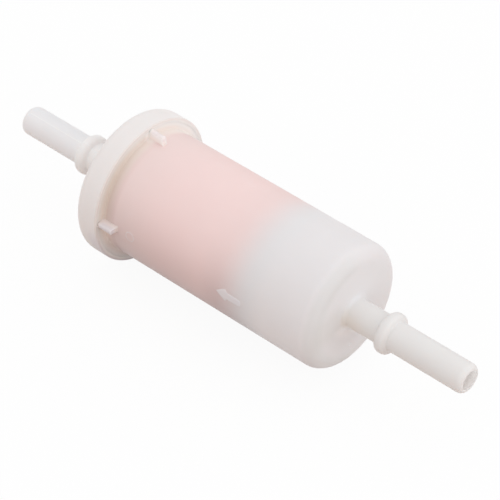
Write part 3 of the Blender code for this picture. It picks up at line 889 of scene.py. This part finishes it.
def housing_finish(scene):
    """Nylon over the element: tan at the weld flange, pink over the paper, whiter where raised;
    painted shadow of the end disc where the pink fades, and painted shade below.
    """
    tree = NylonTree("housing_nylon", scene)
    nylon, sizes, along = tree.nylon, tree.housing, tree.along
    stop = PAPER_HIGH.x + nylon.glow_stop
    slant = tree.math("MULTIPLY_ADD", tree.height, -nylon.stop_slant, along)
    inlet = tree.ease(slant, stop, stop - nylon.stop_fade)
    wall = tree.fade(tree.away, WALL_AWAY, unit=sizes.radius)
    # Painted shade: the glow, the raised marks and the disc's shadow darker towards the underside
    under = tree.fade(tree.height, UNDER_HEIGHT, unit=sizes.radius)
    deep = tree.mix(under, WHITE, [1 - nylon.under_shade] * 3)
    over = tree.product(inlet, wall)
    shell = tree.mix(over, wall_past_paper(tree, wall), wall_at_paper(tree, deep))
    # Painted shadow of the end disc, deeper on the underside
    dip = tree.product(tree.fade(along, DISC_SHADOW_IN), tree.fade(along, DISC_SHADOW_OUT))
    shell = tree.toned(shell, dip, tree.mix(under, nylon.dip, nylon.low_dip))
    # Painted shade low on the underside
    limb = tree.product(
        tree.fade(tree.height, LIMB_HEIGHT, unit=sizes.radius),
        tree.fade(tree.away, LIMB_AWAY, unit=sizes.radius),
    )
    shell = tree.toned(shell, limb, nylon.limb)
    raised = tree.product(
        tree.fade(tree.away, RAISED_AWAY, sizes.radius, sizes.mark_height),
        tree.fade(along, PAST_RIBS, tree.at.rim + sizes.rib_reach),
    )
    # Raised marks, with the same painted shade below
    white = tree.times(tree.mix(inlet, nylon.raised, nylon.raised_glow), deep)
    return tree.finish(tree.mix(raised, shell, white))


def cap_finish(scene):
    """Nylon of the cap: whiter on the tube, the rim face painted lighter, painted shade on the rim,
    its edge, the underside and the tube's back, and a painted highlight along the parting line.
    """
    tree = NylonTree("cap_nylon", scene)
    nylon, spigot, at = tree.nylon, tree.spigot, tree.at
    along, away = tree.along, tree.away
    neck = tree.fade(along, NECK_ALONG, at.back - spigot.outlet_bead)
    tube = tree.mix(neck, nylon.spigot, nylon.cap_neck)
    # Painted shade on the back of the tube
    tube = tree.toned(tube, tree.fade(tree.depth, FAR_DEPTH), nylon.far_shade)
    disc = tree.ease(away, spigot.bead_radius, spigot.bead_radius * 2)
    plain = tree.mix(disc, tube, nylon.cap)
    face = tree.product(
        tree.fade(along, RIM_FACE, at.rim), tree.fade(away, RIM_FACE_AWAY, at.collar)
    )
    # Painted light on the rim face, with painted shade deepest forward of the top
    rim = tree.toned(nylon.rim, tree.lee(LEE, RIM_POWER), nylon.rim_shade)
    plain = tree.mix(face, plain, rim)
    # Painted shade that dims the rim's rounded edge
    edge = tree.product(
        tree.fade(along, RIM_EDGE, at.rim),
        tree.fade(away, RIM_EDGE_AWAY, at.collar),
        tree.lee(LEE, EDGE_POWER),
    )
    plain = tree.toned(plain, edge, nylon.edge_shade)
    outside = tree.math("SUBTRACT", disc, face, clamp=True)
    # Painted shade on the cap's underside
    low = tree.product(tree.fade(tree.height, LOW_HEIGHT, unit=tree.housing.radius), outside)
    plain = tree.mix(low, plain, nylon.cap_low_shade)
    # Painted shade on the collar's underside near the rim
    lip = tree.product(
        tree.fade(tree.height, LIP_HEIGHT), tree.fade(along, LIP_ALONG, at.rim), outside
    )
    plain = tree.toned(plain, lip, nylon.lip_shade)
    # Painted highlight along the parting line's ridge
    ridge = tree.ease(away, spigot.tube_radius, spigot.tube_radius + spigot.parting_height)
    below = tree.math("LESS_THAN", away, spigot.tube_radius + 2 * spigot.parting_height)
    return tree.finish(tree.mix(tree.product(ridge, below), plain, nylon.flash))


def housing_outline(sizes, spigot, at):
    """Outline of the cup with its spigot, with rows for the ribs, the marks and the gate pip."""
    bore = sizes.radius - sizes.wall
    flange = at.collar_bore - sizes.flange_gap
    inner_x = at.end - sizes.end_wall
    corners = [
        (inner_x, spigot.bore_radius, sizes.edge),
        (inner_x, bore, sizes.end_fillet - sizes.wall),
        (HOUSING_LOW.x, bore, sizes.edge),
        (HOUSING_LOW.x, flange, sizes.edge),
        (at.flange, flange, 0),
        (at.flange, sizes.radius, sizes.flange_cove),
        (at.end, sizes.radius, sizes.end_fillet),
    ]
    tube = spigot_corners(spigot, at.end, 1, spigot.inlet_length, spigot.inlet_bead)
    ribs = rib_side(sizes, at.rim)[1:-1, 0]
    reach = sizes.ring_radius + MARK_MARGIN
    ring_x = at.end - sizes.ring_centre
    arrow_x = at.end - sizes.arrow_tip
    arrow_tail = arrow_x + sizes.arrow_length + MARK_MARGIN
    rows = [
        ribs,
        np.linspace(ring_x - reach, ring_x + reach, RING_ROWS),
        np.linspace(arrow_x - MARK_MARGIN, arrow_tail, ARROW_ROWS),
        np.linspace(ribs[-1], at.end - sizes.end_fillet, PLAIN_ROWS)[1:-1],
    ]
    outline = rounded(np.concatenate([tube, corners]))
    outline = with_stations(outline, 0, sizes.radius, np.concatenate(rows))
    return with_stations(outline, 1, at.end, sizes.pip_from_axis + pip_offsets(sizes))


def pip_offsets(sizes):
    """Places of rows and columns across the gate pip, from its centre."""
    return np.linspace(-PIP_REACH, PIP_REACH, PIP_ROWS) * sizes.pip_radius


def housing_columns(sizes):
    """Angles round the housing, with finer clusters at the ribs, the marks and the gate pip."""
    half = rib_section(sizes)[:-1, 0] / sizes.radius
    section = np.concatenate([-half, half])
    reach = (sizes.arrow_head_width / 2 + MARK_MARGIN) / sizes.radius
    pitch = tau / sizes.rib_count
    clusters = [(number * pitch, section) for number in range(sizes.rib_count)]
    clusters.append((FRONT, np.linspace(-1, 1, ARROW_COLUMNS) * reach))
    clusters.append((sizes.pip_angle, pip_offsets(sizes) / sizes.pip_from_axis))
    return columns(sizes.sides, clusters)


def pip_relief(sizes, away, around):
    """Share of the gate pip's height: an eased step of the depth inside its circle."""
    centre, turn = sizes.pip_from_axis, sizes.pip_angle
    aside = np.hypot(
        away * np.sin(around) - centre * sin(turn),
        away * np.cos(around) - centre * cos(turn),
    )
    return smooth(sizes.pip_radius - aside, *PIP_SIDE)


def add_shell(name, places, looks, kinds, node):
    """A turned piece in place of a CAD node, from its grids of places about the axis."""
    made = grid_object(name, grid_points(*places), looks, kinds)
    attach(made, BODY)
    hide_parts(node)


class FILTER_OT_housing(bpy.types.Operator):
    """Turn the cup with its spigot, and raise its ribs, arrow, ring mark and gate pip"""

    bl_idname = "filter_part.housing"
    bl_label = "Housing"

    def execute(self, context):
        scene = context.scene
        sizes, spigot = scene.filter_housing, scene.filter_spigot
        at = stations(scene)
        outline = housing_outline(sizes, spigot, at)
        along, away, around = turned_grid(outline, housing_columns(sizes))
        outside = (away > sizes.radius - TOUCH) & (along < at.end - sizes.end_fillet)
        outside &= along > at.flange - TOUCH
        ribs = rib_relief(sizes, at.rim, along, around)
        across = abs(turn_between(around, FRONT)) * sizes.radius
        arrow = arrow_relief(sizes, along - (at.end - sizes.arrow_tip), across)
        ring = ring_relief(sizes, along - (at.end - sizes.ring_centre), across) * RING_SHARE
        marks = np.maximum(arrow, ring) * sizes.mark_height
        raised = sizes.radius + np.maximum(ribs, marks)
        away = np.where(outside, np.maximum(away, raised), away)
        pip = pip_relief(sizes, away, around) * sizes.pip_height
        along = along + np.where(abs(along - at.end) < TOUCH, pip, 0)
        bore = away < spigot.bore_radius + TOUCH
        rib = outside & (ribs > sizes.rib_foot * RIB_SKIN) & (along > at.rim)
        kinds = np.where(bore, 1, np.where(rib, 2, 0))
        looks = [housing_finish(scene), bore_finish(scene), rib_finish(scene)]
        places = along, away, around
        add_shell("housing_shell", places, looks, kinds, "housing")
        return {"FINISHED"}


class FILTER_OT_outlet_cap(bpy.types.Operator):
    """Turn the cap with its spigot, seal socket, locating ring and collar"""

    bl_idname = "filter_part.outlet_cap"
    bl_label = "Outlet cap"

    def execute(self, context):
        scene = context.scene
        sizes, spigot, housing = scene.filter_cap, scene.filter_spigot, scene.filter_housing
        at = stations(scene)
        edge = housing.edge
        socket_x = at.floor + sizes.socket_length
        socket_out = sizes.socket_radius + sizes.socket_wall
        plug_x = at.floor + sizes.plug_length
        plug = housing.radius - housing.wall - sizes.seat_gap
        plug_bore = plug - sizes.plug_wall
        corners = [
            (at.floor, spigot.bore_radius, edge),
            (at.floor, sizes.socket_radius, edge),
            (socket_x, sizes.socket_radius, edge),
            (socket_x, socket_out, edge),
            (at.floor, socket_out, edge),
            (at.floor, plug_bore, edge),
            (plug_x, plug_bore, edge),
            (plug_x, plug, edge),
            (at.floor, plug, edge),
            (at.floor, at.collar_bore, edge),
            (at.rim, at.collar_bore, 0),
            (at.rim, at.collar, sizes.front_edge),
            (at.back, at.collar, sizes.back_fillet),
        ]
        tube = spigot_corners(spigot, at.back, -1, spigot.outlet_length, spigot.outlet_bead)
        outline = rounded(np.concatenate([tube, corners]))
        line = spigot.parting_width / spigot.tube_radius * np.array(PARTING_COLUMNS)
        partings = (spigot.parting_angle, spigot.parting_angle + pi)
        clusters = [(turn, line) for turn in partings]
        along, away, around = turned_grid(outline, columns(sizes.sides, clusters))
        beside = np.min([abs(turn_between(around, turn)) for turn in partings], axis=0)
        ridge = smooth(spigot.parting_width / 2 - beside * spigot.tube_radius, *PARTING_SIDE)
        outer = (away > spigot.tube_radius - TOUCH) & (along < at.back - spigot.root_fillet)
        away = away + np.where(outer, ridge * spigot.parting_height, 0)
        kinds = (away < spigot.bore_radius + TOUCH).astype(int)
        looks = [cap_finish(scene), bore_finish(scene)]
        add_shell("outlet_cap_shell", (along, away, around), looks, kinds, "outlet_cap")
        return {"FINISHED"}


def dress(finish, *nodes):
    """Gives CAD nodes a material."""
    for node in nodes:
        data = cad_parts[node].data
        data.materials.clear()
        data.materials.append(finish)


class FILTER_OT_paper(bpy.types.Operator):
    """Give the pleats the fibrous look of resin-treated filter paper"""

    bl_idname = "filter_part.paper"
    bl_label = "Pleated paper"

    def execute(self, context):
        settings = context.scene.filter_element
        tree = MaterialTree("filter_paper")
        fibres = tree.noise(tree.place(), settings.fibre_scale, FIBRE_DETAIL)
        pale = [min(1, value * PALE_FIBRE) for value in settings.paper]
        values = {
            "Base Color": tree.mix(tree.ease(fibres, *FIBRE_SPAN), settings.paper, pale),
            "Roughness": PAPER_ROUGHNESS,
            "Normal": tree.bump(fibres, FIBRE_RELIEF, FIBRE_DEPTH),
        }
        dress(tree.shaded(values), "pleated_paper")
        return {"FINISHED"}


class FILTER_OT_fittings(bpy.types.Operator):
    """Give the end discs, the core tube and the seal their materials"""

    bl_idname = "filter_part.fittings"
    bl_label = "Element fittings"

    def execute(self, context):
        scene = context.scene
        element = scene.filter_element
        discs = NylonTree("disc_nylon", scene).finish(element.disc)
        dress(discs, "outlet_end_disc", "inlet_end_disc")
        dress(NylonTree("core_nylon", scene).finish(element.core), "core_tube")
        tree = MaterialTree("seal_rubber")
        bloom = tree.noise(tree.place(), *BLOOM)
        values = {
            "Base Color": tree.mix(bloom, element.rubber, BLOOM_COLOUR),
            "Roughness": tree.ease(bloom, *BLOOM_GLOSS),
        }
        dress(tree.shaded(values), "neck_seal")
        return {"FINISHED"}


class FILTER_OT_studio(bpy.types.Operator):
    """Lay the floor, set the lamps and the white room, and place the camera"""

    bl_idname = "filter_part.studio"
    bl_label = "Studio"

    def execute(self, context):
        settings = context.scene.filter_studio
        add_floor(settings)
        light_room(context.scene, settings)
        add_lamps(settings)
        add_camera(context.scene, settings)
        context.scene.view_settings.view_transform = "Standard"
        return {"FINISHED"}


def add_floor(settings):
    """A pale floor that looks white to the camera, keeps the shadow, and bounces a warmer grey."""
    half = settings.floor_size / 2
    mesh = bpy.data.meshes.new("floor")
    corners = [(-half, -half, 0), (half, -half, 0), (half, half, 0), (-half, half, 0)]
    mesh.from_pydata(corners, [], [(0, 1, 2, 3)])
    floor = add_object("floor", mesh)
    tree = MaterialTree("floor_paint")
    nodes = tree.tree.nodes
    nodes.remove(nodes["Principled BSDF"])
    bounce = tree.value("ShaderNodeBsdfDiffuse", {"Color": settings.bounce_colour})
    lit = tree.value("ShaderNodeBsdfDiffuse", {"Color": settings.floor_colour})
    glow = tree.value("ShaderNodeEmission", {"Color": WHITE, "Strength": 1.0})
    pale = tree.shader_mix(settings.floor_glow, lit, glow)
    surface = tree.shader_mix(tree.seen_by("Camera", "Glossy"), bounce, pale)
    tree.feed(nodes["Material Output"].inputs, {"Surface": surface})
    mesh.materials.append(tree.material)


def light_room(scene, settings):
    """A white room: plain white to the camera and in reflections, dimmer as a light."""
    room = bpy.data.worlds.new("white_room")
    scene.world = room
    room.use_nodes = True
    tree = Tree(room.node_tree)
    nodes = room.node_tree.nodes
    nodes.remove(nodes["Background"])
    dim = tree.value("ShaderNodeBackground", {"Color": WHITE, "Strength": settings.surround})
    white = tree.value("ShaderNodeBackground", {"Color": WHITE, "Strength": 1.0})
    surface = tree.shader_mix(tree.seen_by("Camera", "Transmission"), dim, white)
    tree.feed(nodes["World Output"].inputs, {"Surface": surface})


def add_lamps(settings):
    """Soft area lamps: a wide one overhead and one from the right."""
    for name, watts, (place, aim, wide, tint) in (
        ("overhead_lamp", settings.overhead_watts, OVERHEAD_LAMP),
        ("side_lamp", settings.side_watts, SIDE_LAMP),
    ):
        light = bpy.data.lights.new(name, "AREA")
        light.shape = "SQUARE"
        light.size = wide
        light.energy = watts
        light.color = tint
        lamp = add_object(name, light)
        lamp.location = place
        lamp.rotation_euler = (Vector(aim) - Vector(place)).to_track_quat("-Z", "Y").to_euler()


def add_camera(scene, settings):
    """The camera on its line of sight to its target, with its upright leaned by the roll."""
    turn, flat = settings.azimuth, cos(settings.elevation)
    sight = -sin(turn) * flat, cos(turn) * flat, -sin(settings.elevation)
    ahead = Vector(sight)
    right = ahead.cross(Vector((0, 0, 1))).normalized()
    upright = right.cross(ahead)
    lean = Matrix.Rotation(settings.roll, 3, ahead)
    place = Vector(settings.target) - ahead * settings.distance
    data = bpy.data.cameras.new("camera")
    data.lens = settings.lens
    data.sensor_width = settings.sensor
    camera = add_object("camera", data)
    turned = Matrix((lean @ right, lean @ upright, -ahead)).transposed().to_4x4()
    camera.matrix_world = Matrix.Translation(place) @ turned
    scene.camera = camera


class FILTER_PT_panel(bpy.types.Panel):
    """Lists the pieces of the filter"""

    bl_idname = "FILTER_PT_panel"
    bl_label = "Fuel filter"
    bl_space_type = "VIEW_3D"
    bl_region_type = "UI"
    bl_category = "Fuel filter"

    def draw(self, context):
        for maker in OPERATORS:
            self.layout.operator(maker.bl_idname)


SETTINGS = {
    "filter_spigot": SpigotSizes,
    "filter_housing": HousingSizes,
    "filter_cap": CapSizes,
    "filter_nylon": NylonFinish,
    "filter_element": ElementFinish,
    "filter_studio": StudioSettings,
}
OPERATORS = (
    FILTER_OT_studio,
    FILTER_OT_housing,
    FILTER_OT_outlet_cap,
    FILTER_OT_paper,
    FILTER_OT_fittings,
)


def register():
    for name, group in SETTINGS.items():
        for label, entry in group.__annotations__.items():
            entry.keywords["name"] = label.replace("_", " ").capitalize()
        bpy.utils.register_class(group)
        setattr(bpy.types.Scene, name, bpy.props.PointerProperty(type=group))
    for made in (*OPERATORS, FILTER_PT_panel):
        bpy.utils.register_class(made)


def unregister():
    for made in (FILTER_PT_panel, *reversed(OPERATORS)):
        bpy.utils.unregister_class(made)
    for name, group in reversed(SETTINGS.items()):
        delattr(bpy.types.Scene, name)
        bpy.utils.unregister_class(group)


def main():
    register()
    bpy.ops.filter_part.studio()
    bpy.ops.filter_part.housing()
    bpy.ops.filter_part.outlet_cap()
    bpy.ops.filter_part.paper()
    bpy.ops.filter_part.fittings()


if __name__ == "__main__":
    main()
